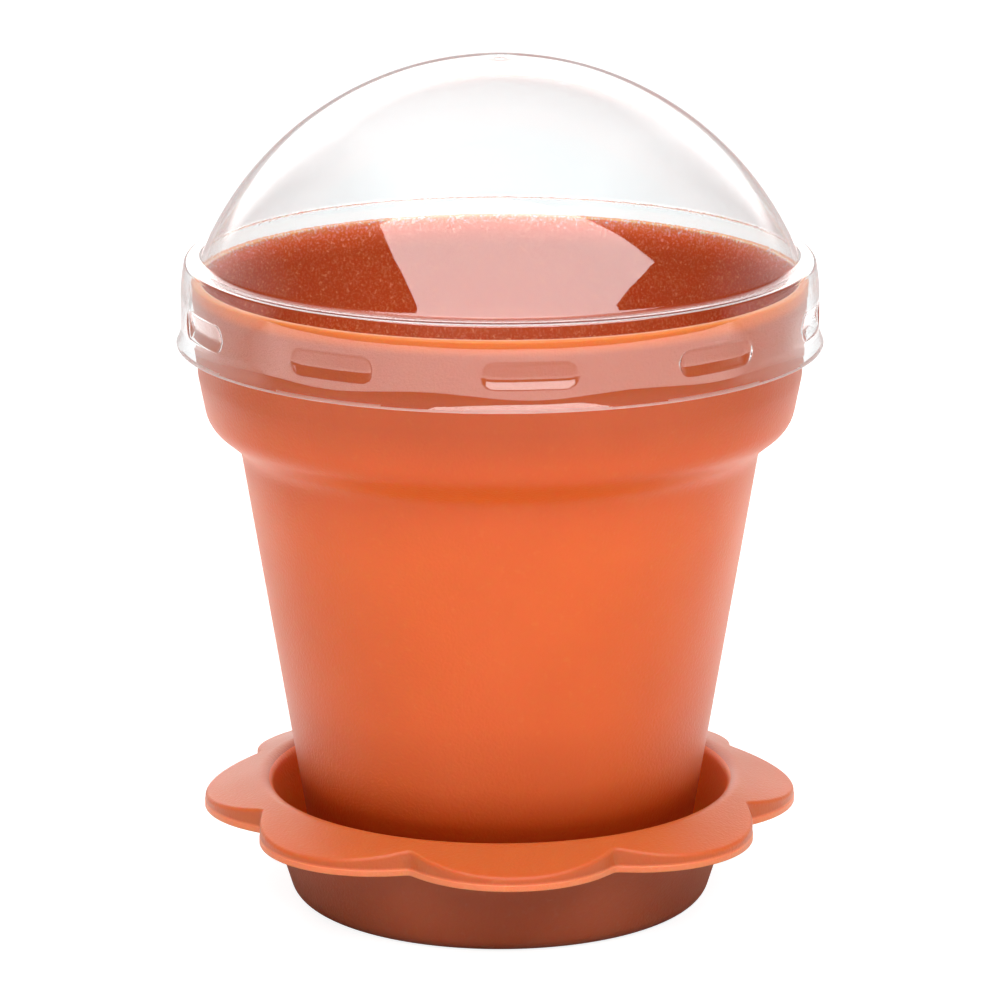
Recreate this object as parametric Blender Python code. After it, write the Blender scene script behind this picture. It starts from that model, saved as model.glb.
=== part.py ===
"""Flowerpot-shaped cup that stands in a scalloped saucer under a clear dome lid.

Metres, +Z up. The origin is the centre of the saucer's underside, on the axis that
all three pieces share. The front of the object faces -Y.
"""

import math

import bmesh
import bpy
from mathutils import Vector

# Saucer, with heights from its underside
SAUCER_SIDES = 96
SAUCER_WALL = 0.0014
FOOT_RADIUS = 0.02657
FOOT_RING = 0.0022
FOOT_RECESS = 0.0006
FOOT_ROUNDING = 0.00268
SAUCER_LEAN = 0.315
SAUCER_FLOOR = 0.0019
WELL_RADIUS = 0.0272
WELL_ROUNDING = 0.0018
LIP_RADIUS = 0.03205
LIP_ROUNDING = 0.0019
FLANGE_BOTTOM = 0.0127
FLANGE_SLOPE = 0.3125
FLANGE_EDGE_ROUNDING = 0.0007

# Scalloped outline: equal round lobes, each an arc about a centre off the axis
LOBES = 8
LOBE_TIP_RADIUS = 0.0411
LOBE_CENTRE_RADIUS = 0.0253
LOBE_FIRST_ANGLE = math.radians(2.85)
VALLEY_SOFTNESS = 0.0004
LOBE_TIP_TOP = 0.0146

# Pot, with heights from its own base
POT_SIDES = 64
POT_STANDS_AT = 0.0022
POT_HEIGHT = 0.0855
POT_WALL = 0.00125
POT_FLOOR = 0.0014
RIM_RADIUS = 0.04205
RIM_ROUNDING = 0.0003
COLLAR_BREAK = (0.04127, 0.0721)
COLLAR_FOOT = (0.04003, 0.06574)
WAIST = (0.03565, 0.06219)
COLLAR_BREAK_ROUNDING = 0.0036
COLLAR_FOOT_ROUNDING = 0.0045
WAIST_ROUNDING = 0.0042
BASE_RADIUS = 0.02537
BASE_ROUNDING = 0.0012
BASE_RING = 0.0020
BASE_RECESS = 0.0012
FLOOR_ROUNDING = 0.0020

# Dome lid, with heights from the skirt's lower edge
LID_SIDES = 120
LID_SITS_AT = 0.0786
LID_SHEET = 0.0005
LID_HEIGHT = 0.03925
DOME_RADIUS = 0.04405
DOME_STEPS = 8
LEDGE_HEIGHT = 0.01165
LEDGE_RADIUS = 0.04285
LEDGE_ROUNDING = 0.0007
SHOULDER_RADIUS = 0.0435
SHOULDER_HEIGHT = 0.0072
LIP_FLARE_RADIUS = 0.0442
LIP_FLARE_HEIGHT = 0.0023
GATE_RADIUS = 0.00115
GATE_HEIGHT = 0.0002
DIMPLES = 10
DIMPLE_FIRST_ANGLE = math.radians(5.2)
DIMPLE_HALF_ANGLE = math.radians(8.5)
DIMPLE_TOP = 0.0066
DIMPLE_CREASE = 0.00445
DIMPLE_BOTTOM = 0.0030
DIMPLE_DEPTH = 0.00065


def round_corner(before, corner, after, radius, steps):
    """Points of an arc that rounds one corner of an outline, tangent to both sides."""
    before, corner, after = Vector(before), Vector(corner), Vector(after)
    to_before = (before - corner).normalized()
    to_after = (after - corner).normalized()
    half = to_before.angle(to_after) / 2
    centre = corner + (to_before + to_after).normalized() * radius / math.sin(half)
    start = corner + to_before * radius / math.tan(half) - centre
    end = corner + to_after * radius / math.tan(half) - centre
    sweep = start.angle(end)
    points = []
    for step in range(steps + 1):
        share = step / steps
        spoke = start * math.sin((1 - share) * sweep) + end * math.sin(share * sweep)
        points.append(centre + spoke / math.sin(sweep))
    return points


def outline(corners):
    """Section outline through (radius, height, rounding, steps) corners.

    A corner without a rounding stays sharp, and the two ends are always sharp.
    """
    points = []
    for index, (radius, height, rounding, steps) in enumerate(corners):
        here = (radius, height)
        if rounding:
            before = corners[index - 1][:2]
            after = corners[index + 1][:2]
            points += round_corner(before, here, after, rounding, steps)
        else:
            points.append(Vector(here))
    return points


def turned_body(name, section, sides, first_angle, material):
    """Closed body about Z from a section that may change with the angle.

    section(angle) returns the outline from the axis out along the underside, up the
    outer side and back to the axis. Angles run from -Y towards +X.
    """
    bm = bmesh.new()
    columns = []
    for side in range(sides):
        angle = first_angle + 2 * math.pi * side / sides
        points = section(angle)
        column = []
        for radius, height in points[1:-1]:
            place = (radius * math.sin(angle), -radius * math.cos(angle), height)
            column.append(bm.verts.new(place))
        columns.append(column)
    lower_pole = bm.verts.new((0, 0, points[0][1]))
    upper_pole = bm.verts.new((0, 0, points[-1][1]))
    for side, column in enumerate(columns):
        following = columns[(side + 1) % sides]
        bm.faces.new((lower_pole, following[0], column[0]))
        bm.faces.new((upper_pole, column[-1], following[-1]))
        for row in range(len(column) - 1):
            bm.faces.new((column[row], following[row], following[row + 1], column[row + 1]))
    mesh = bpy.data.meshes.new(name)
    bm.to_mesh(mesh)
    bm.free()
    mesh.shade_smooth()
    mesh.set_sharp_from_angle(angle=math.radians(40))
    mesh.materials.append(material)
    body = bpy.data.objects.new(name, mesh)
    bpy.context.scene.collection.objects.link(body)
    return body


def plastic(name, colour, roughness, alpha):
    """Moulded plastic, opaque or clear."""
    material = bpy.data.materials.new(name)
    material.use_nodes = True
    shader = material.node_tree.nodes["Principled BSDF"]
    shader.inputs["Base Color"].default_value = (*colour, 1)
    shader.inputs["Roughness"].default_value = roughness
    shader.inputs["Metallic"].default_value = 0
    shader.inputs["Alpha"].default_value = alpha
    return material


def lobe_arc(off_centre):
    """Radius of a lobe's arc at an angle from the middle of the lobe."""
    along = LOBE_CENTRE_RADIUS * math.cos(off_centre)
    aside = LOBE_CENTRE_RADIUS * math.sin(off_centre)
    lobe_radius = LOBE_TIP_RADIUS - LOBE_CENTRE_RADIUS
    return along + math.sqrt(lobe_radius**2 - aside**2)


def scalloped_radius(angle):
    """Radius of the saucer's outline: round lobes that meet in soft valleys."""
    pitch = 2 * math.pi / LOBES
    place = (angle - LOBE_FIRST_ANGLE) / pitch
    off_centre = abs(place - round(place)) * pitch
    sharp_valley = lobe_arc(pitch / 2)
    return sharp_valley + math.hypot(lobe_arc(off_centre) - sharp_valley, VALLEY_SOFTNESS)


def saucer_section(angle):
    """Saucer outline at one angle, from the recess under the floor round to the floor."""
    edge = scalloped_radius(angle)
    top_at_edge = LOBE_TIP_TOP + (LOBE_TIP_RADIUS - edge) * FLANGE_SLOPE
    lip_top = LOBE_TIP_TOP + (LOBE_TIP_RADIUS - LIP_RADIUS) * FLANGE_SLOPE
    skirt_inside = edge - SAUCER_WALL
    under_edge = top_at_edge - SAUCER_WALL
    foot_corner = FOOT_RADIUS + FOOT_ROUNDING * math.tan(math.pi / 4 - math.atan(SAUCER_LEAN) / 2)
    under_lip = lip_top - 1.5 * SAUCER_WALL
    wall_top = foot_corner + under_lip * SAUCER_LEAN
    return outline([
        (0, FOOT_RECESS, 0, 0),
        (FOOT_RADIUS - FOOT_RING - FOOT_RECESS, FOOT_RECESS, 0, 0),
        (FOOT_RADIUS - FOOT_RING, 0, 0, 0),
        (foot_corner, 0, FOOT_ROUNDING, 4),
        (wall_top, under_lip, 0, 0),
        (skirt_inside, under_edge, 0, 0),
        (skirt_inside, FLANGE_BOTTOM, 0, 0),
        (edge, FLANGE_BOTTOM, 0, 0),
        (edge, top_at_edge, FLANGE_EDGE_ROUNDING, 2),
        (LIP_RADIUS, lip_top, LIP_ROUNDING, 4),
        (WELL_RADIUS, SAUCER_FLOOR, WELL_ROUNDING, 3),
        (0, SAUCER_FLOOR, 0, 0),
    ])


def pot_section(_angle):
    """Pot outline, from the recess under its base, up the outside and down the inside."""
    wall = POT_WALL
    return outline([
        (0, BASE_RECESS, 0, 0),
        (BASE_RADIUS - BASE_RING - BASE_RECESS / 2, BASE_RECESS, 0, 0),
        (BASE_RADIUS - BASE_RING, 0, 0, 0),
        (BASE_RADIUS, 0, BASE_ROUNDING, 2),
        (*WAIST, WAIST_ROUNDING, 3),
        (*COLLAR_FOOT, COLLAR_FOOT_ROUNDING, 4),
        (*COLLAR_BREAK, COLLAR_BREAK_ROUNDING, 1),
        (RIM_RADIUS, POT_HEIGHT, RIM_ROUNDING, 1),
        (RIM_RADIUS - wall, POT_HEIGHT, RIM_ROUNDING, 1),
        (COLLAR_BREAK[0] - wall, COLLAR_BREAK[1], 0, 0),
        (COLLAR_FOOT[0] - wall, COLLAR_FOOT[1] + wall / 2, COLLAR_FOOT_ROUNDING - wall, 3),
        (WAIST[0] - wall, WAIST[1] + wall / 2, WAIST_ROUNDING + wall, 2),
        (BASE_RADIUS - wall, BASE_RECESS + POT_FLOOR, FLOOR_ROUNDING, 3),
        (0, BASE_RECESS + POT_FLOOR, 0, 0),
    ])


def skirt_radius(height):
    """Outer radius of the skirt: leaning out below the ledge, then upright, then flared."""
    if height > SHOULDER_HEIGHT:
        above = (height - SHOULDER_HEIGHT) / (LEDGE_HEIGHT - SHOULDER_HEIGHT)
        return SHOULDER_RADIUS + (LEDGE_RADIUS - SHOULDER_RADIUS) * above
    below = max(0, 1 - height / LIP_FLARE_HEIGHT)
    return SHOULDER_RADIUS + (LIP_FLARE_RADIUS - SHOULDER_RADIUS) * below**1.6


def dome_arc(radius, first_angle, last_angle):
    """Points of the dome's arc between two angles above its centre's level."""
    centre_height = LID_HEIGHT - DOME_RADIUS
    points = []
    for step in range(DOME_STEPS + 1):
        angle = first_angle + (last_angle - first_angle) * step / DOME_STEPS
        height = centre_height + radius * math.sin(angle)
        points.append(Vector((radius * math.cos(angle), height)))
    return points


def skirt_points(offset):
    """Skirt from its lower edge up to just below the ledge, offset inwards."""
    heights = (0, LIP_FLARE_HEIGHT / 3, LIP_FLARE_HEIGHT, DIMPLE_BOTTOM, DIMPLE_CREASE)
    heights += (DIMPLE_TOP, SHOULDER_HEIGHT)
    return [Vector((skirt_radius(height) - offset, height)) for height in heights]


def sheet_side(offset, ledge_rounding):
    """One side of the lid's sheet, from the skirt's lower edge up to the dome's foot."""
    radius = DOME_RADIUS - offset
    ledge = LEDGE_HEIGHT - offset
    foot_angle = math.asin((ledge - LID_HEIGHT + DOME_RADIUS) / radius)
    dome_foot = (radius * math.cos(foot_angle), ledge)
    points = skirt_points(offset)
    corner = (LEDGE_RADIUS - offset, ledge)
    points += round_corner(points[-1], corner, dome_foot, ledge_rounding, 2)
    return points, foot_angle


def lid_outer_outline():
    """Outer side of the lid's sheet, from the skirt's lower edge up to the gate mark."""
    points, foot_angle = sheet_side(0, LEDGE_ROUNDING)
    points += dome_arc(DOME_RADIUS, foot_angle, math.acos(GATE_RADIUS / DOME_RADIUS))
    points.append(Vector((GATE_RADIUS, LID_HEIGHT + GATE_HEIGHT)))
    points.append(Vector((0, LID_HEIGHT + GATE_HEIGHT)))
    return points


def lid_inner_outline():
    """Inner side of the lid's sheet, from the apex down to the skirt's lower edge."""
    points, foot_angle = sheet_side(LID_SHEET, LEDGE_ROUNDING - LID_SHEET)
    points += dome_arc(DOME_RADIUS - LID_SHEET, foot_angle, math.pi / 2)
    points[-1].x = 0
    return points[::-1]


def dimple_depth(angle, height):
    """How far the skirt is pressed in: snap dimples in a row, creased across the middle."""
    pitch = 2 * math.pi / DIMPLES
    place = (angle - DIMPLE_FIRST_ANGLE) / pitch
    off_centre = abs(place - round(place)) * pitch
    if off_centre < DIMPLE_HALF_ANGLE and abs(height - DIMPLE_CREASE) < LID_SHEET / 2:
        return DIMPLE_DEPTH
    return 0


def lid_section(angle):
    """Lid outline at one angle: down the sheet's inner side from the apex, round the
    skirt's lower edge and up the outer side."""
    points = lid_inner_outline() + lid_outer_outline()
    pressed = []
    for radius, height in points:
        pressed.append(Vector((radius - dimple_depth(angle, height), height)))
    return pressed


def make_saucer():
    """Saucer with a scalloped, sloping flange that turns down at its edge."""
    material = plastic("terracotta_satin", (0.62, 0.12, 0.035), 0.42, 1)
    return turned_body("saucer", saucer_section, SAUCER_SIDES, LOBE_FIRST_ANGLE, material)


def make_pot(saucer):
    """Tapered pot with a deeper collar, standing on the saucer's floor."""
    material = plastic("terracotta_translucent", (0.66, 0.13, 0.035), 0.38, 1)
    pot = turned_body("pot", pot_section, POT_SIDES, 0, material)
    pot.parent = saucer
    pot.location.z = POT_STANDS_AT
    return pot


def make_lid(pot):
    """Clear dome whose skirt reaches down over the pot's rim."""
    material = plastic("clear_sheet", (0.95, 0.96, 0.97), 0.05, 0.25)
    lid = turned_body("dome_lid", lid_section, LID_SIDES, DIMPLE_FIRST_ANGLE, material)
    lid.parent = pot
    lid.location.z = LID_SITS_AT - POT_STANDS_AT
    return lid


for old in list(bpy.data.objects):
    bpy.data.objects.remove(old)
make_lid(make_pot(make_saucer()))
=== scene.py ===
"""Looks of the flowerpot cup, its scalloped saucer and its clear dome lid.

Metres, +Z up, front of the object towards -Y. Each of the three mouldings is one closed
turned mesh whose section changes with the angle, so lobes and snap dimples are real shape.
"""

import math

import bpy
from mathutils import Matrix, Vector


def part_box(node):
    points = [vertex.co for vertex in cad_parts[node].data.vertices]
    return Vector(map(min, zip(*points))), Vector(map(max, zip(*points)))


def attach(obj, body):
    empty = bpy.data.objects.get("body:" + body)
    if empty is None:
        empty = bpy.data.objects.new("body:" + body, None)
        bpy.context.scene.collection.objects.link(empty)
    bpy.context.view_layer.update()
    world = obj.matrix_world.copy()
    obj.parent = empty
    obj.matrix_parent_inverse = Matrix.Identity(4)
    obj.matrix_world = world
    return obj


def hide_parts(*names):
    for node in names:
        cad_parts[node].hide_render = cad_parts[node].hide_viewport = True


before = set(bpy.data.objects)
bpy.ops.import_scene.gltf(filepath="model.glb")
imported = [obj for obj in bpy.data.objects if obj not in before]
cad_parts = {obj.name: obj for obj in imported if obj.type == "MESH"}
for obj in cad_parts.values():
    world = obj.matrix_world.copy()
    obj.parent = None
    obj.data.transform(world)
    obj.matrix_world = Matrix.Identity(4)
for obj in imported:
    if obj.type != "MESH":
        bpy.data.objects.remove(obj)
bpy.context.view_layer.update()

SAUCER_LOW, SAUCER_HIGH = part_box("saucer")
POT_LOW, POT_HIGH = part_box("pot")
LID_LOW, LID_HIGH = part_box("dome_lid")

ARC_STEP = math.radians(7)
SHARP_ANGLE = math.radians(50)

# Saucer: heights from the floor it stands on
SAUCER_COLUMNS = 480
WALL = 0.0014
FOOT_RADIUS = 0.02657
FOOT_RING = 0.0022
FOOT_RECESS = 0.0006
FOOT_ROUNDING = 0.00268
SAUCER_LEAN = 0.315
SAUCER_FLOOR = 0.0019
WELL_RADIUS = 0.0272
WELL_ROUNDING = 0.0018
LIP_RADIUS = 0.03205
LIP_ROUNDING = 0.0019
FLANGE_BOTTOM = 0.0127
FLANGE_SLOPE = 0.3125
FLANGE_EDGE_ROUNDING = 0.0007
PARTING_HEIGHT = 0.0008
PARTING_STEP = 0.00008
FLASH_ROUNDING = 0.00015
UNDER_LIP_ROUNDING = 0.0006
UNDER_EDGE_ROUNDING = 0.0003
SKIRT_FOOT_ROUNDING = 0.0001
PARTING_ROUNDING = 0.00004
LOBES = 8
LOBE_TIP_RADIUS = max(SAUCER_HIGH.x, -SAUCER_LOW.y)
LOBE_CENTRE_RADIUS = 0.0253
LOBE_FIRST_ANGLE = math.radians(2.85)
VALLEY_SOFTNESS = 0.0004
LOBE_TIP_TOP = 0.0146

# Pot: heights from its own base
POT_COLUMNS = 288
POT_HEIGHT = POT_HIGH.z - POT_LOW.z
POT_WALL = 0.00125
POT_FLOOR = 0.0014
RIM_RADIUS = POT_HIGH.x
RIM_ROUNDING = 0.0003
COLLAR_BREAK = (0.04127, 0.0721)
COLLAR_FOOT = (0.04003, 0.06574)
WAIST = (0.03565, 0.06219)
COLLAR_BREAK_ROUNDING = 0.0036
COLLAR_FOOT_ROUNDING = 0.0045
WAIST_ROUNDING = 0.0042
BASE_RADIUS = 0.02537
BASE_ROUNDING = 0.0012
BASE_RING = 0.0020
BASE_RECESS = 0.0012
FLOOR_ROUNDING = 0.0020

# Dome lid: heights from its skirt's lower edge
LID_SHEET = 0.00034
CROWN_BELOW_BOX = 0.0005
LID_HEIGHT = LID_HIGH.z - LID_LOW.z - CROWN_BELOW_BOX
DOME_RADIUS = 0.04405
DOME_STEPS = 24
LEDGE_HEIGHT = 0.01165
LEDGE_RADIUS = 0.04290
LEDGE_ROUNDING = 0.0007
DOME_FOOT_ROUNDING = 0.0009
SHOULDER_RADIUS = 0.0435
SHOULDER_HEIGHT = 0.0072
SHOULDER_CURVE = 1.5
LIP_FLARE_RADIUS = 0.0442
LIP_FLARE_HEIGHT = 0.0024
LIP_FLARE_CURVE = 1.8
LIP_WAVE = 0.0005
LIP_UNEVENNESS = ((0.25, 3, 1), (0.2, 7, 0))
CUT_EDGE_ROUNDING = 0.00012
CUT_EDGE_HEIGHT = 0.0003
GATE_RADIUS = 0.00125
GATE_HEIGHT = 0.00018
GATE_STEPS = 8
CORNER_ROOM = 1.4
DOME_FOOT_ROOM = 1.5
DIMPLES = 10
DIMPLE_FIRST_ANGLE = math.radians(5.2)
DIMPLE_HALF_WIDTH = 0.00645
DIMPLE_BOTTOM = 0.0030
DIMPLE_TOP = 0.0066
DIMPLE_DEPTH = 0.0005
DIMPLE_FOLD = -0.3
DIMPLE_FOLD_SOFTNESS = 0.16
DIMPLE_RIM_DEPTH = 0.00009
DIMPLE_RIM_WIDTH = 0.00028
SKIRT_ROW = 0.00021
UPPER_SKIRT_ROWS = 4

# Lid columns: where a dimple's round end starts and stops, and how many columns lie before
# it, in it and between it and the middle of the gap
DIMPLE_END_FROM = math.radians(5.4)
DIMPLE_END_TO = math.radians(9.0)
FLAT_COLUMNS, END_COLUMNS, GAP_COLUMNS = 5, 13, 8

# Studio
KEY_PLACE = (0.145, -1.0, 0.9)
KEY_SIZE = (1.63, 1.56)
KEY_TURN = math.radians(-4)
KEY_RADIANCE = 3.55
BACKDROP_RADIANCE = 3.1
CANOPY_RADIANCE = 1.0
DIM_RADIANCE = 0.08
HORIZON_RADIANCE = 0.7
SEEN_RADIANCE = 1.07
FLOOR_ALBEDO = 0.4
FLOOR_FRONT_GLOW = 1.05
FLOOR_BACK_GLOW = 0.5
FLOOR_POOL_GLOW = 1.25
FLOOR_SEEN_NEAR = 0.88
FLOOR_SEEN_FAR = 0.92
FLOOR_RADIUS = 3.0
FLOOR_SIDES = 96
FLOOR_DROP = 0.0001

# Where the floor's glow changes: distances from the axis, then places along Y
FRONT_RISE = (0.07, 0.22)
POOL_RISE = (0.045, 0.075)
POOL_FALL = (0.28, 0.42)
SEEN_RISE = (0.06, 0.28)
FRONT_TO_BACK = (-0.06, 0.05)
FAR_FRONT_TO_BACK = (-0.1, 0.1)
WEDGE_SPREAD = 0.9
WEDGE_EDGE = (-0.14, -0.03)

# Where the surroundings change, as parts of a direction along X, Y and Z
BACKDROP_Y = (-0.24, -0.14)
BACKDROP_LEAN_X = (-0.3, 0.3)
BACKDROP_LEAN = (1.2, 0.8)
BACKDROP_FOOT_Z = (0.07, 0.17)
CANOPY_Z = (0.30, 0.60)
BACKDROP_SIDE_X = (0.45, 0.65)
HORIZON_Z = (0.15, 0.45)
HORIZON_Y = (-0.1, 0.1)

# Camera
CAMERA_PLACE = (0, -0.7644, 0.2505)
CAMERA_AIM = (0, 0, 0.0559)
CAMERA_LENS = 206.4


def round_corner(before, corner, after, radius):
    """Points of an arc that rounds one corner of an outline, tangent to both sides."""
    before, corner, after = Vector(before), Vector(corner), Vector(after)
    to_before = (before - corner).normalized()
    to_after = (after - corner).normalized()
    half = to_before.angle(to_after) / 2
    centre = corner + (to_before + to_after).normalized() * radius / math.sin(half)
    start = corner + to_before * radius / math.tan(half) - centre
    end = corner + to_after * radius / math.tan(half) - centre
    sweep = start.angle(end)
    steps = max(1, round(sweep / ARC_STEP))
    points = []
    for step in range(steps + 1):
        share = step / steps
        spoke = start * math.sin((1 - share) * sweep) + end * math.sin(share * sweep)
        points.append(centre + spoke / math.sin(sweep))
    return points


def outline(corners):
    """Section outline through (radius, height, rounding, parts) corners.

    The straight run before a corner is cut into its number of parts, shorter near both
    ends so that smooth shading stays flat there. A corner without a rounding stays sharp.
    """
    points = []
    for index, (radius, height, rounding, parts) in enumerate(corners):
        here = (radius, height)
        if rounding:
            corner = round_corner(corners[index - 1][:2], here, corners[index + 1][:2], rounding)
        else:
            corner = [Vector(here)]
        for part in range(1, parts):
            share = (part / parts) ** 2 * (3 - 2 * part / parts)
            points.append(run_start.lerp(corner[0], share))
        points += corner
        run_start = points[-1]
    return points


def turned_piece(name, section, angles):
    """Closed piece about Z from a section that may change with the angle.

    section(angle) runs from the axis out along the underside, up the outer side and back
    to the axis. Angles run from -Y towards +X.
    """
    vertices = []
    for angle in angles:
        points = section(angle)
        for radius, height in points[1:-1]:
            vertices.append((radius * math.sin(angle), -radius * math.cos(angle), height))
    rows = len(points) - 2
    lower_pole = len(vertices)
    upper_pole = lower_pole + 1
    vertices += [(0, 0, points[0].y), (0, 0, points[-1].y)]
    faces = []
    for side in range(len(angles)):
        here = side * rows
        there = (side + 1) % len(angles) * rows
        faces.append((lower_pole, there, here))
        faces.append((upper_pole, here + rows - 1, there + rows - 1))
        for row in range(rows - 1):
            faces.append((here + row, there + row, there + row + 1, here + row + 1))
    mesh = bpy.data.meshes.new(name)
    mesh.from_pydata(vertices, [], faces)
    mesh.shade_smooth()
    mesh.set_sharp_from_angle(angle=SHARP_ANGLE)
    piece = bpy.data.objects.new(name, mesh)
    bpy.context.scene.collection.objects.link(piece)
    return piece


def even_angles(columns, first_angle):
    """Angles of evenly spaced columns, one whole turn."""
    return [first_angle + 2 * math.pi * column / columns for column in range(columns)]


def off_centre(angle, count, first_angle):
    """Angle from the middle of the nearest of a ring of repeated shapes."""
    pitch = 2 * math.pi / count
    place = (angle - first_angle) / pitch
    return (place - round(place)) * pitch


# ---- Saucer


def lobe_arc(angle):
    """Radius of a lobe's arc at an angle from the middle of the lobe."""
    along = LOBE_CENTRE_RADIUS * math.cos(angle)
    aside = LOBE_CENTRE_RADIUS * math.sin(angle)
    lobe_radius = LOBE_TIP_RADIUS - LOBE_CENTRE_RADIUS
    return along + math.sqrt(lobe_radius**2 - aside**2)


def scalloped_radius(angle):
    """Radius of the saucer's outline: round lobes that meet in soft valleys."""
    sharp_valley = lobe_arc(math.pi / LOBES)
    lobe = lobe_arc(off_centre(angle, LOBES, LOBE_FIRST_ANGLE))
    return sharp_valley + math.hypot(lobe - sharp_valley, VALLEY_SOFTNESS)


def saucer_section(angle):
    """Saucer outline at one angle, from the recess under the floor round to the floor."""
    edge = scalloped_radius(angle)
    top_at_edge = LOBE_TIP_TOP + (LOBE_TIP_RADIUS - edge) * FLANGE_SLOPE
    lip_top = LOBE_TIP_TOP + (LOBE_TIP_RADIUS - LIP_RADIUS) * FLANGE_SLOPE
    skirt_inside = edge - WALL
    under_edge = top_at_edge + WALL * FLANGE_SLOPE - WALL
    lean_angle = math.atan(SAUCER_LEAN)
    foot_corner = FOOT_RADIUS + FOOT_ROUNDING * math.tan(math.pi / 4 - lean_angle / 2)
    under_at_foot = LOBE_TIP_TOP + (LOBE_TIP_RADIUS - foot_corner) * FLANGE_SLOPE - WALL
    under_lip = under_at_foot / (1 + SAUCER_LEAN * FLANGE_SLOPE)
    wall_top = foot_corner + under_lip * SAUCER_LEAN
    parting = FLANGE_BOTTOM + PARTING_HEIGHT
    upper_edge = edge - PARTING_STEP
    return outline([
        (0, FOOT_RECESS, 0, 1),
        (FOOT_RADIUS - FOOT_RING - FOOT_RECESS, FOOT_RECESS, 0, 6),
        (FOOT_RADIUS - FOOT_RING, 0, 0, 2),
        (foot_corner, 0, FOOT_ROUNDING, 2),
        (wall_top, under_lip, UNDER_LIP_ROUNDING, 10),
        (skirt_inside, under_edge, UNDER_EDGE_ROUNDING, 5),
        (skirt_inside, FLANGE_BOTTOM, SKIRT_FOOT_ROUNDING, 3),
        (edge, FLANGE_BOTTOM, FLASH_ROUNDING, 3),
        (edge, parting, PARTING_ROUNDING, 3),
        (upper_edge, parting + PARTING_STEP, PARTING_ROUNDING, 1),
        (upper_edge, top_at_edge, FLANGE_EDGE_ROUNDING, 3),
        (LIP_RADIUS, lip_top, LIP_ROUNDING, 6),
        (WELL_RADIUS, SAUCER_FLOOR, WELL_ROUNDING, 10),
        (0, SAUCER_FLOOR, 0, 8),
    ])


def make_saucer():
    """Saucer with a scalloped, sloping flange that turns down at its edge."""
    angles = even_angles(SAUCER_COLUMNS, LOBE_FIRST_ANGLE)
    saucer = turned_piece("saucer_shell", saucer_section, angles)
    # The two materials are the same plastic with different painted light and shade; the well's
    # faces get the well's.
    saucer.data.materials.append(terracotta("saucer_terracotta", GRAINED, SAUCER_WALL_PAINTED_LIGHT))
    saucer.data.materials.append(terracotta("saucer_terracotta_well_painted_light", GRAINED, SAUCER_WELL_PAINTED_LIGHT))
    for face in saucer.data.polygons:
        inward = face.normal.xy.dot(face.center.xy) < 0 or face.center.z < SAUCER_FLOOR + WALL
        in_well = inward and face.normal.z > 0 and face.center.xy.length < LIP_RADIUS
        face.material_index = int(in_well)
    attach(saucer, "saucer")
    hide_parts("saucer")


# ---- Pot


def pot_outside():
    """Pot outline from the recess under its base, up the outside, to the rim's middle."""
    return [
        (0, BASE_RECESS, 0, 1),
        (BASE_RADIUS - BASE_RING - BASE_RECESS / 2, BASE_RECESS, 0, 6),
        (BASE_RADIUS - BASE_RING, 0, 0, 2),
        (BASE_RADIUS, 0, BASE_ROUNDING, 2),
        (*WAIST, WAIST_ROUNDING, 16),
        (*COLLAR_FOOT, COLLAR_FOOT_ROUNDING, 2),
        (*COLLAR_BREAK, COLLAR_BREAK_ROUNDING, 3),
        (RIM_RADIUS, POT_HEIGHT, RIM_ROUNDING, 8),
    ]


def pot_inside():
    """Pot outline from the rim down the inside to the middle of its floor."""
    wall = POT_WALL
    return [
        (RIM_RADIUS - wall, POT_HEIGHT, RIM_ROUNDING, 2),
        (COLLAR_BREAK[0] - wall, COLLAR_BREAK[1], COLLAR_BREAK_ROUNDING, 8),
        (COLLAR_FOOT[0] - wall, COLLAR_FOOT[1] + wall / 2, COLLAR_FOOT_ROUNDING - wall, 2),
        (WAIST[0] - wall, WAIST[1] + wall / 2, WAIST_ROUNDING + wall, 2),
        (BASE_RADIUS - wall, BASE_RECESS + POT_FLOOR, FLOOR_ROUNDING, 14),
        (0, BASE_RECESS + POT_FLOOR, 0, 6),
    ]


def pot_section(_angle):
    """Whole pot outline, lifted to where the pot stands."""
    points = outline(pot_outside() + pot_inside())
    return [Vector((radius, POT_LOW.z + height)) for radius, height in points]


def make_pot():
    """Tapered pot with a deeper collar, grained outside and smooth inside."""
    pot = turned_piece("pot_shell", pot_section, even_angles(POT_COLUMNS, 0))
    # Both materials carry painted light and shade from their tints.
    pot.data.materials.append(terracotta("pot_terracotta_grained", GRAINED, POT_WALL_PAINTED_LIGHT))
    pot.data.materials.append(terracotta("pot_terracotta_smooth", SMOOTH, INSIDE_WALL_PAINTED_LIGHT))
    inner_top = POT_HIGH.z - RIM_ROUNDING / 2
    inner_bottom = POT_LOW.z + BASE_RECESS + POT_FLOOR / 2
    for face in pot.data.polygons:
        outward = face.normal.xy.dot(face.center.xy)
        inside = outward < 0 or (face.normal.z > 0.5 and face.center.z < inner_top)
        face.material_index = int(inside and face.center.z > inner_bottom)
    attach(pot, "pot")
    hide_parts("pot")


# ---- Dome lid


def lip_flare(height, flare_height):
    """How far the skirt's lower lip flares out at a height."""
    share = max(0, 1 - height / flare_height) ** LIP_FLARE_CURVE
    return (LIP_FLARE_RADIUS - SHOULDER_RADIUS) * share


def skirt_radius(height):
    """Outer radius of the skirt: leaning out below the ledge, then upright, then flared."""
    if height > SHOULDER_HEIGHT:
        above = (height - SHOULDER_HEIGHT) / (LEDGE_HEIGHT - SHOULDER_HEIGHT)
        return SHOULDER_RADIUS + (LEDGE_RADIUS - SHOULDER_RADIUS) * above**SHOULDER_CURVE
    return SHOULDER_RADIUS + lip_flare(height, LIP_FLARE_HEIGHT)


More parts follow.
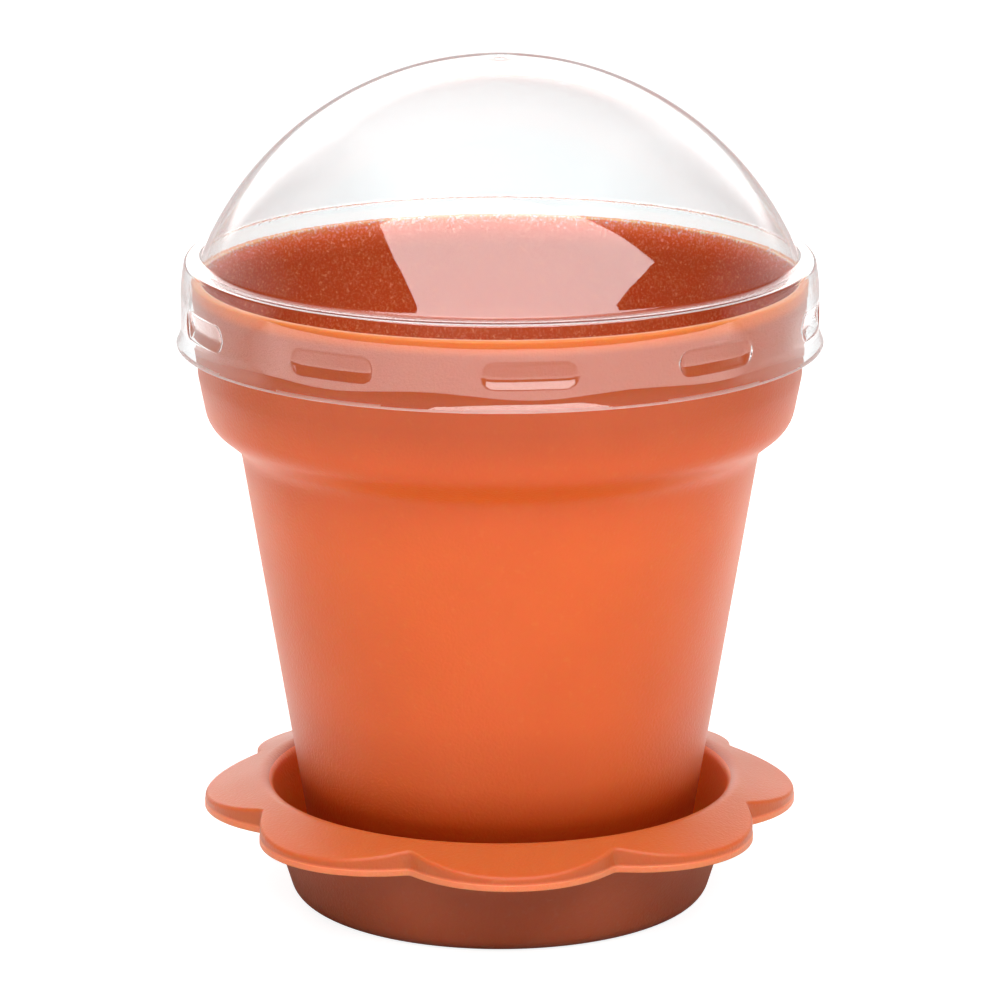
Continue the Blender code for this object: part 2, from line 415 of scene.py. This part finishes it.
def lip_wave(angle, height):
    """How much further the lip flares between the dimples, where the sheet isn't pulled in."""
    place = off_centre(angle, DIMPLES, DIMPLE_FIRST_ANGLE) * DIMPLES
    uneven = sum(size * math.sin(waves * angle + start) for size, waves, start in LIP_UNEVENNESS)
    flare_height = LIP_FLARE_HEIGHT - LIP_WAVE * (math.cos(place) + uneven)
    return lip_flare(height, flare_height) - lip_flare(height, LIP_FLARE_HEIGHT)


def dimple_depth(angle, height):
    """How far the skirt is pressed in.

    The snap dimples are stadium-shaped, with a fold along them: a long slope above the fold
    and a short, steeper one below it.
    """
    half_height = (DIMPLE_TOP - DIMPLE_BOTTOM) / 2
    along = abs(off_centre(angle, DIMPLES, DIMPLE_FIRST_ANGLE)) * SHOULDER_RADIUS
    past_straight = max(0, along - (DIMPLE_HALF_WIDTH - half_height)) / half_height
    if past_straight >= 1:
        return 0
    reach = math.sqrt(1 - past_straight**2)
    place = (height - (DIMPLE_TOP + DIMPLE_BOTTOM) / 2) / half_height / reach
    if abs(place) >= 1:
        return 0
    below = (1 + place) / (1 + DIMPLE_FOLD)
    above = (1 - place) / (1 - DIMPLE_FOLD)
    fold = (below + above - math.hypot(below - above, DIMPLE_FOLD_SOFTNESS)) / 2
    from_rim = half_height * (1 - math.hypot(past_straight, place * reach))
    rim = DIMPLE_RIM_DEPTH * min(1, from_rim / DIMPLE_RIM_WIDTH)
    return rim + DIMPLE_DEPTH * reach * max(0, fold)


def dome_foot():
    """Angle above the dome centre's level, and place, where the dome meets the ledge."""
    centre_height = LID_HEIGHT - DOME_RADIUS
    foot_angle = math.asin((LEDGE_HEIGHT - centre_height) / DOME_RADIUS)
    return foot_angle, Vector((DOME_RADIUS * math.cos(foot_angle), LEDGE_HEIGHT))


def lid_outer_side():
    """Outer side of the lid's sheet, from the skirt's lower edge to the gate mark."""
    rows = round(SHOULDER_HEIGHT / SKIRT_ROW)
    points = []
    for row in range(rows + 1):
        height = CUT_EDGE_ROUNDING + (SHOULDER_HEIGHT - CUT_EDGE_ROUNDING) * row / rows
        points.append(Vector((skirt_radius(height), height)))
    foot_angle, foot = dome_foot()
    below_ledge = LEDGE_HEIGHT - CORNER_ROOM * LEDGE_ROUNDING
    for part in range(1, UPPER_SKIRT_ROWS + 1):
        height = SHOULDER_HEIGHT + (below_ledge - SHOULDER_HEIGHT) * part / UPPER_SKIRT_ROWS
        points.append(Vector((skirt_radius(height), height)))
    corner = (LEDGE_RADIUS, LEDGE_HEIGHT)
    points += round_corner(points[-1], corner, foot, LEDGE_ROUNDING)
    up_dome = foot + Vector((-math.sin(foot_angle), math.cos(foot_angle)))
    points += round_corner(corner, foot, up_dome, DOME_FOOT_ROUNDING)
    first_angle = foot_angle + DOME_FOOT_ROOM * DOME_FOOT_ROUNDING / DOME_RADIUS
    last_angle = math.acos(CORNER_ROOM * GATE_RADIUS / DOME_RADIUS)
    centre_height = LID_HEIGHT - DOME_RADIUS
    for step in range(DOME_STEPS + 1):
        angle = first_angle + (last_angle - first_angle) * step / DOME_STEPS
        height = centre_height + DOME_RADIUS * math.sin(angle)
        points.append(Vector((DOME_RADIUS * math.cos(angle), height)))
    for step in range(GATE_STEPS + 1):
        across = 1 - step / GATE_STEPS
        height = LID_HEIGHT + GATE_HEIGHT * (1 + math.cos(math.pi * across)) / 2
        points.append(Vector((GATE_RADIUS * across, height)))
    return points


LID_OUTER_SIDE = lid_outer_side()


def inner_side(outer):
    """The sheet's other side: the outer points moved in by its thickness, without the gate."""
    inner = []
    for index, point in enumerate(outer):
        if point.x <= GATE_RADIUS:
            continue
        before = outer[max(index - 1, 0)]
        after = outer[index + 1]
        along = (after - before).normalized()
        inner.append(point + Vector((-along.y, along.x)) * LID_SHEET)
    inner.append(Vector((0, LID_HEIGHT - LID_SHEET)))
    return inner


def lid_section(angle):
    """Lid outline at one angle.

    It runs down the sheet's inner side from the apex, round the skirt's cut edge and up the
    outer side.
    """
    outer = []
    for radius, height in LID_OUTER_SIDE:
        pressed = radius - dimple_depth(angle, height) + lip_wave(angle, height)
        outer.append(Vector((pressed, height)))
    inner = inner_side(outer)
    cut = skirt_radius(0)
    edge = [Vector((cut - LID_SHEET + CUT_EDGE_ROUNDING, 0)), Vector((cut - CUT_EDGE_ROUNDING, 0))]
    points = inner[::-1] + edge + outer
    return [Vector((radius, LID_LOW.z + height)) for radius, height in points]


def lid_angles():
    """Column angles of the lid: fine where the dimples' round ends are, coarser elsewhere."""
    pitch = 2 * math.pi / DIMPLES
    end = DIMPLE_END_TO - DIMPLE_END_FROM
    gap = pitch / 2 - DIMPLE_END_TO
    half = [DIMPLE_END_FROM * step / FLAT_COLUMNS for step in range(FLAT_COLUMNS)]
    half += [DIMPLE_END_FROM + end * step / END_COLUMNS for step in range(END_COLUMNS + 1)]
    half += [DIMPLE_END_TO + gap * step / GAP_COLUMNS for step in range(1, GAP_COLUMNS)]
    sector = [-angle for angle in reversed(half[1:])] + half + [pitch / 2]
    angles = []
    for dimple in range(DIMPLES):
        angles += [DIMPLE_FIRST_ANGLE + dimple * pitch + angle for angle in sector]
    return angles


def make_lid():
    """Clear dome whose skirt reaches down over the pot's rim."""
    lid = turned_piece("dome_lid_shell", lid_section, lid_angles())
    lid.data.materials.append(clear_sheet("clear_dome_sheet", SHEET_ROUGHNESS))
    lid.data.materials.append(clear_sheet("clear_dome_cut_edge", CUT_EDGE_ROUGHNESS))
    for face in lid.data.polygons:
        face.material_index = int(face.center.z < LID_LOW.z + CUT_EDGE_HEIGHT)
    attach(lid, "dome_lid")
    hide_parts("dome_lid")


# ---- Materials


class Nodes:
    """Short ways to add linked nodes to one material's or world's tree."""

    def __init__(self, owner):
        owner.use_nodes = True
        self.tree = owner.node_tree
        self.tree.nodes.clear()

    def add(self, kind, inputs, **settings):
        """A node with its settings, whose inputs are values or other nodes' outputs."""
        node = self.tree.nodes.new(kind)
        for name, value in settings.items():
            setattr(node, name, value)
        for name, value in inputs.items():
            if isinstance(value, bpy.types.NodeSocket):
                self.tree.links.new(value, node.inputs[name])
            else:
                node.inputs[name].default_value = value
        return node

    def math(self, operation, *values):
        """Output of a Math node."""
        node = self.add("ShaderNodeMath", dict(enumerate(values)), operation=operation)
        return node.outputs[0]

    def noise(self, place, scale, detail):
        """Value of a noise texture."""
        inputs = {"Vector": place, "Scale": scale, "Detail": detail}
        return self.add("ShaderNodeTexNoise", inputs).outputs["Fac"]

    def spread(self, value, low, high, to_low, to_high):
        """Value taken from one range to another, and kept inside it."""
        inputs = {
            "Value": value,
            "From Min": low,
            "From Max": high,
            "To Min": to_low,
            "To Max": to_high,
        }
        return self.add("ShaderNodeMapRange", inputs).outputs["Result"]

    def product(self, *values):
        """All the values multiplied together."""
        result = values[0]
        for value in values[1:]:
            result = self.math("MULTIPLY", result, value)
        return result

    def mix_colour(self, share, first, second):
        """Colour between two colours."""
        node = self.add("ShaderNodeMix", {0: share, 6: first, 7: second}, data_type="RGBA")
        return node.outputs[2]

    def bump(self, height, distance, under=None):
        """Normal of a bumped surface, over another bump if one is given."""
        inputs = {"Height": height, "Distance": distance, "Strength": 1}
        if under is not None:
            inputs["Normal"] = under
        return self.add("ShaderNodeBump", inputs).outputs["Normal"]

    def object_place(self):
        """Place on the object, in metres."""
        return self.add("ShaderNodeTexCoord", {}).outputs["Object"]

    def seen_straight(self):
        """1 for what the camera sees directly or straight through clear sheet, else 0."""
        path = self.add("ShaderNodeLightPath", {}).outputs
        return self.math("COMPARE", path["Ray Depth"], path["Transmission Depth"], 0.5)

    def finish(self, surface, kind="ShaderNodeOutputMaterial"):
        """Connects the shader to the output."""
        self.add(kind, {"Surface": surface})


PIGMENT = (0.757, 0.1286, 0.0129, 1)
STREAK_SHARES = (0.96, 0.93, 0.9)
FLECK_SHARES = (1, 1.35, 1.9)
DUST = (0.98, 0.40, 0.14, 1)
SCATTER_RADII = (1, 0.32, 0.12)
SCATTER_LENGTH = 0.0020

# Noise scales of the plastic's detail, per metre, from cloudy streaks to single grains
CLOUD_SCALE = 60
WAVE_SCALE = 110
FLECK_SCALE = 900
DUST_SCALE = 1900
GRAIN_SCALE = 2400
HAZE_SCALE = 3000

# Noise values between which each kind of mark goes from none to full
STREAK_EDGE = (0.35, 0.65)
FLECK_EDGE = (0.62, 0.75)
HAZE_EDGE = (0.48, 0.66)
DUST_EDGE = (0.665, 0.70)
ROUGHNESS_EDGE = (0.3, 0.7)
FLECK_STRENGTH = 0.25
ROUGHNESS_STRAY = 0.03

# Finishes: grain and waviness are heights in metres, dust is a share
GRAINED = {"grain": 0.00007, "roughness": 0.42, "waviness": 0.00003, "ior": 1.46, "dust": 0}
SMOOTH = {"grain": 0.000004, "roughness": 0.23, "waviness": 0.00004, "ior": 1.49, "dust": 1.0}

# What multiplies the pigment at each height of a wall at rest: (height, tint). The tints are
# painted light and shade: a painted glow where light would shine through thin places, and
# painted shade at thick places and between the pot and the saucer.
# Saucer's outside: painted shade and a bluish painted sheen on the wall under the flange, a painted
# glow on the flange's edge band, and painted shade and sheen on the flange top.
SAUCER_WALL_PAINTED_LIGHT = (
    (0.0040, (0.76, 1.00, 3.80, 1)),
    (0.0124, (0.72, 1.00, 3.80, 1)),
    (0.0128, (1.26, 2.00, 8.00, 1)),
    (0.0135, (1.26, 2.00, 8.00, 1)),
    (0.0139, (0.80, 1.00, 2.00, 1)),
    (0.0180, (0.72, 1.02, 2.40, 1)),
)
# Saucer's well: painted light, lighter and more orange than the plastic's own colour.
SAUCER_WELL_PAINTED_LIGHT = (
    (0.0020, (1.14, 1.10, 0.70, 1)),
    (0.0060, (1.20, 1.50, 0.90, 1)),
    (0.0150, (1.20, 1.50, 1.20, 1)),
)
# Pot's inside: painted shade all over, then a painted glow up the rim where light shines through
# it.
INSIDE_WALL_PAINTED_LIGHT = (
    (0.0835, (0.76, 0.66, 0.68, 1)),
    (0.0853, (0.92, 0.96, 1.60, 1)),
    (0.0862, (1.08, 1.35, 3.20, 1)),
    (0.0868, (1.20, 2.10, 6.50, 1)),
    (0.0877, (1.27, 3.40, 14.0, 1)),
)
# Pot's outside: painted shade low down where it stands in the saucer, kept when the pot is lifted,
# painted shade on the collar, and a painted glow on the rim.
POT_WALL_PAINTED_LIGHT = (
    (0.0150, (0.46, 0.28, 0.08, 1)),
    (0.0185, (0.66, 0.56, 0.34, 1)),
    (0.0230, (0.84, 0.84, 0.72, 1)),
    (0.0320, (0.96, 0.98, 0.95, 1)),
    (0.0560, (1.00, 1.06, 0.98, 1)),
    (0.0650, (0.95, 0.95, 0.92, 1)),
    (0.0700, (0.88, 0.86, 0.86, 1)),
    (0.0750, (0.71, 0.68, 0.66, 1)),
    (0.0855, (0.71, 0.68, 0.66, 1)),
    (0.0865, (1.02, 1.30, 1.50, 1)),
    (0.0877, (1.08, 1.80, 2.40, 1)),
)

# Clear sheet: a faint cyan evens out the pot's colour mirrored in the dome
SHEET_COLOUR = (0.955, 0.985, 0.99, 1)
SHEET_SHADOW_COLOUR = (0.94, 0.94, 0.94, 1)
SHEET_IOR = 1.62
SHEET_ROUGHNESS = 0.015
CUT_EDGE_ROUGHNESS = 0.55
SHEET_REFLECTIONS = 1.5
SHEET_WAVE_SCALE = 90
SHEET_WAVE_HEIGHT = 0.00003
SHEET_RIPPLE_SCALE = 1800
SHEET_RIPPLE_HEIGHT = 0.0000006


def painted_light_tint(nodes, height, painted_tints):
    """Colour of painted light and shade that the pigment is multiplied by at a height of the wall.
    """
    low, high = painted_tints[0][0], painted_tints[-1][0]
    ramp = nodes.add("ShaderNodeValToRGB", {"Fac": nodes.spread(height, low, high, 0, 1)})
    stops = ramp.color_ramp.elements
    stops.remove(stops[1])
    for index, (level, tint) in enumerate(painted_tints):
        stop = stops[0] if index == 0 else stops.new((level - low) / (high - low))
        stop.color = tint
    return ramp.outputs["Color"]


def shaded_pigment(shares):
    """The pigment with each of its parts multiplied by a share."""
    return (*(part * share for part, share in zip(PIGMENT, shares)), 1)


def terracotta(name, finish, painted_tints):
    """Translucent terracotta-coloured polypropylene, with streaks, dust and a moulded grain, and
    painted light and shade by height.
    """
    material = bpy.data.materials.new(name)
    nodes = Nodes(material)
    place = nodes.object_place()
    height = nodes.add("ShaderNodeSeparateXYZ", {"Vector": place}).outputs["Z"]
    cloud = nodes.noise(place, CLOUD_SCALE, 3)
    fleck = nodes.noise(place, FLECK_SCALE, 2)
    streaky = shaded_pigment(STREAK_SHARES)
    pale = shaded_pigment(FLECK_SHARES)
    pigment = nodes.mix_colour(nodes.spread(cloud, *STREAK_EDGE, 0, 1), PIGMENT, streaky)
    flecks = nodes.spread(fleck, *FLECK_EDGE, 0, FLECK_STRENGTH)
    flecked = nodes.mix_colour(flecks, pigment, pale)
    haze = nodes.noise(place, HAZE_SCALE, 2)
    fine_dust = nodes.spread(haze, *HAZE_EDGE, 0, finish["dust"] / 2)
    hazy = nodes.mix_colour(fine_dust, flecked, DUST)
    dust = nodes.noise(place, DUST_SCALE, 1)
    specks = nodes.spread(dust, *DUST_EDGE, 0, finish["dust"])
    dusty = nodes.mix_colour(specks, hazy, DUST)
    # Painted light and shade: the plastic's colour times the height tints.
    with_painted_light = nodes.add(
        "ShaderNodeMix",
        {0: 1, 6: dusty, 7: painted_light_tint(nodes, height, painted_tints)},
        data_type="RGBA",
        blend_type="MULTIPLY",
    )
    grain = nodes.noise(place, GRAIN_SCALE, 2)
    wave = nodes.noise(place, WAVE_SCALE, 1)
    wavy = nodes.bump(wave, finish["waviness"])
    normal = nodes.bump(grain, finish["grain"], wavy)
    smoothest = finish["roughness"] - ROUGHNESS_STRAY
    roughest = finish["roughness"] + ROUGHNESS_STRAY
    roughness = nodes.spread(cloud, *ROUGHNESS_EDGE, smoothest, roughest)
    shader = nodes.add("ShaderNodeBsdfPrincipled", {
        "Base Color": with_painted_light.outputs[2],
        "Roughness": roughness,
        "IOR": finish["ior"],
        "Subsurface Weight": 1,
        "Subsurface Radius": SCATTER_RADII,
        "Subsurface Scale": SCATTER_LENGTH,
        "Normal": normal,
    })
    nodes.finish(shader.outputs[0])
    return material


def clear_sheet(name, roughness):
    """Clear formed sheet, a little wavy.

    Shadow rays, diffuse rays and rays that have already been reflected more than once go
    straight through, so that its shadow is faint and no light is trapped in its corners.
    """
    material = bpy.data.materials.new(name)
    nodes = Nodes(material)
    place = nodes.object_place()
    wave = nodes.noise(place, SHEET_WAVE_SCALE, 1)
    ripple = nodes.noise(place, SHEET_RIPPLE_SCALE, 2)
    wavy = nodes.bump(wave, SHEET_WAVE_HEIGHT)
    normal = nodes.bump(ripple, SHEET_RIPPLE_HEIGHT, wavy)
    glass = nodes.add("ShaderNodeBsdfPrincipled", {
        "Base Color": SHEET_COLOUR,
        "Roughness": roughness,
        "IOR": SHEET_IOR,
        "Transmission Weight": 1,
        "Normal": normal,
    })
    clear = nodes.add("ShaderNodeBsdfTransparent", {"Color": SHEET_SHADOW_COLOUR}).outputs[0]
    path = nodes.add("ShaderNodeLightPath", {}).outputs
    trapped = nodes.math("GREATER_THAN", path["Glossy Depth"], SHEET_REFLECTIONS)
    passed = nodes.math("MAXIMUM", path["Is Diffuse Ray"], trapped)
    soft = nodes.add("ShaderNodeMixShader", {0: passed, 1: glass.outputs[0], 2: clear})
    shadow = path["Is Shadow Ray"]
    lit = nodes.add("ShaderNodeMixShader", {0: shadow, 1: soft.outputs[0], 2: clear})
    nodes.finish(lit.outputs[0])
    return material


# ---- Studio


def floor_white():
    """Matt white table that also glows away from the object.

    It glows in front, in a pool behind that opens like a wedge, and more faintly far behind.
    What the camera sees of it directly is a nearly even white instead.
    """
    material = bpy.data.materials.new("studio_white")
    nodes = Nodes(material)
    place = nodes.object_place()
    distance = nodes.add("ShaderNodeVectorMath", {0: place}, operation="LENGTH").outputs["Value"]
    axes = nodes.add("ShaderNodeSeparateXYZ", {"Vector": place}).outputs
    in_front = nodes.math("SUBTRACT", 1, nodes.spread(axes["Y"], *FRONT_TO_BACK, 0, 1))
    front = nodes.product(nodes.spread(distance, *FRONT_RISE, 0, FLOOR_FRONT_GLOW), in_front)
    aside = nodes.product(nodes.math("ABSOLUTE", axes["X"]), WEDGE_SPREAD)
    wedge = nodes.spread(nodes.math("SUBTRACT", axes["Y"], aside), *WEDGE_EDGE, 0, 1)
    pool = nodes.product(
        nodes.spread(distance, *POOL_RISE, 0, FLOOR_POOL_GLOW),
        nodes.spread(distance, *POOL_FALL, 1, 0),
        wedge,
    )
    far = nodes.product(
        nodes.spread(distance, *POOL_FALL, 0, FLOOR_BACK_GLOW),
        nodes.spread(axes["Y"], *FAR_FRONT_TO_BACK, 0, 1),
    )
    glowing = nodes.math("ADD", front, nodes.math("ADD", pool, far))
    shown = nodes.spread(distance, *SEEN_RISE, FLOOR_SEEN_NEAR, FLOOR_SEEN_FAR)
    strengths = {0: nodes.seen_straight(), 2: glowing, 3: shown}
    strength = nodes.add("ShaderNodeMix", strengths).outputs[0]
    shade = (FLOOR_ALBEDO, FLOOR_ALBEDO, FLOOR_ALBEDO, 1)
    matt = nodes.add("ShaderNodeBsdfDiffuse", {"Color": shade})
    glow = nodes.add("ShaderNodeEmission", {"Strength": strength})
    both = nodes.add("ShaderNodeAddShader", {0: matt.outputs[0], 1: glow.outputs[0]})
    nodes.finish(both.outputs[0])
    return material


def make_floor():
    """Large plain floor just under the object."""
    ring = []
    for angle in even_angles(FLOOR_SIDES, 0):
        across = FLOOR_RADIUS * math.cos(angle)
        along = FLOOR_RADIUS * math.sin(angle)
        ring.append((across, along, -FLOOR_DROP))
    mesh = bpy.data.meshes.new("floor")
    mesh.from_pydata(ring, [], [tuple(range(FLOOR_SIDES))])
    mesh.materials.append(floor_white())
    floor = bpy.data.objects.new("floor", mesh)
    bpy.context.scene.collection.objects.link(floor)


def make_world():
    """Surroundings of the object, which the camera itself sees as plain white.

    A bright backdrop stands behind the object, brighter on the left, under a dimmer canopy
    overhead. There is a pale horizon behind, and the rest is dim.
    """
    world = bpy.data.worlds.new("studio")
    bpy.context.scene.world = world
    nodes = Nodes(world)
    direction = nodes.add("ShaderNodeTexCoord", {}).outputs["Generated"]
    axes = nodes.add("ShaderNodeSeparateXYZ", {"Vector": direction}).outputs
    aside = nodes.math("ABSOLUTE", axes["X"])
    backdrop = nodes.product(
        nodes.spread(axes["Y"], *BACKDROP_Y, 0, 1),
        nodes.spread(aside, *BACKDROP_SIDE_X, 1, 0),
        nodes.spread(axes["Z"], *BACKDROP_FOOT_Z, 0, 1),
        nodes.spread(axes["Z"], *CANOPY_Z, BACKDROP_RADIANCE, CANOPY_RADIANCE),
        nodes.spread(axes["X"], *BACKDROP_LEAN_X, *BACKDROP_LEAN),
    )
    horizon = nodes.spread(axes["Z"], *HORIZON_Z, HORIZON_RADIANCE, DIM_RADIANCE)
    around = nodes.spread(axes["Y"], *HORIZON_Y, DIM_RADIANCE, horizon)
    strengths = {0: nodes.seen_straight(), 2: nodes.math("ADD", backdrop, around), 3: SEEN_RADIANCE}
    strength = nodes.add("ShaderNodeMix", strengths).outputs[0]
    background = nodes.add("ShaderNodeBackground", {"Strength": strength})
    nodes.finish(background.outputs[0], "ShaderNodeOutputWorld")


def make_key_light():
    """Large softbox overhead, in front of the object."""
    light = bpy.data.lights.new("key_softbox", "AREA")
    light.shape = "RECTANGLE"
    light.size, light.size_y = KEY_SIZE
    light.energy = KEY_RADIANCE * math.pi * KEY_SIZE[0] * KEY_SIZE[1]
    key = bpy.data.objects.new("key_softbox", light)
    key.location = KEY_PLACE
    key.rotation_euler.z = KEY_TURN
    key.visible_camera = False
    bpy.context.scene.collection.objects.link(key)


def make_camera():
    """Long-lens camera in front, looking a little down."""
    camera = bpy.data.objects.new("camera", bpy.data.cameras.new("camera"))
    camera.data.lens = CAMERA_LENS
    camera.location = CAMERA_PLACE
    aim = Vector(CAMERA_AIM) - camera.location
    camera.rotation_euler = aim.to_track_quat("-Z", "Y").to_euler()
    bpy.context.scene.collection.objects.link(camera)
    bpy.context.scene.camera = camera


make_camera()
make_saucer()
make_pot()
make_lid()
make_floor()
make_world()
make_key_light()
bpy.context.scene.view_settings.view_transform = "Standard"
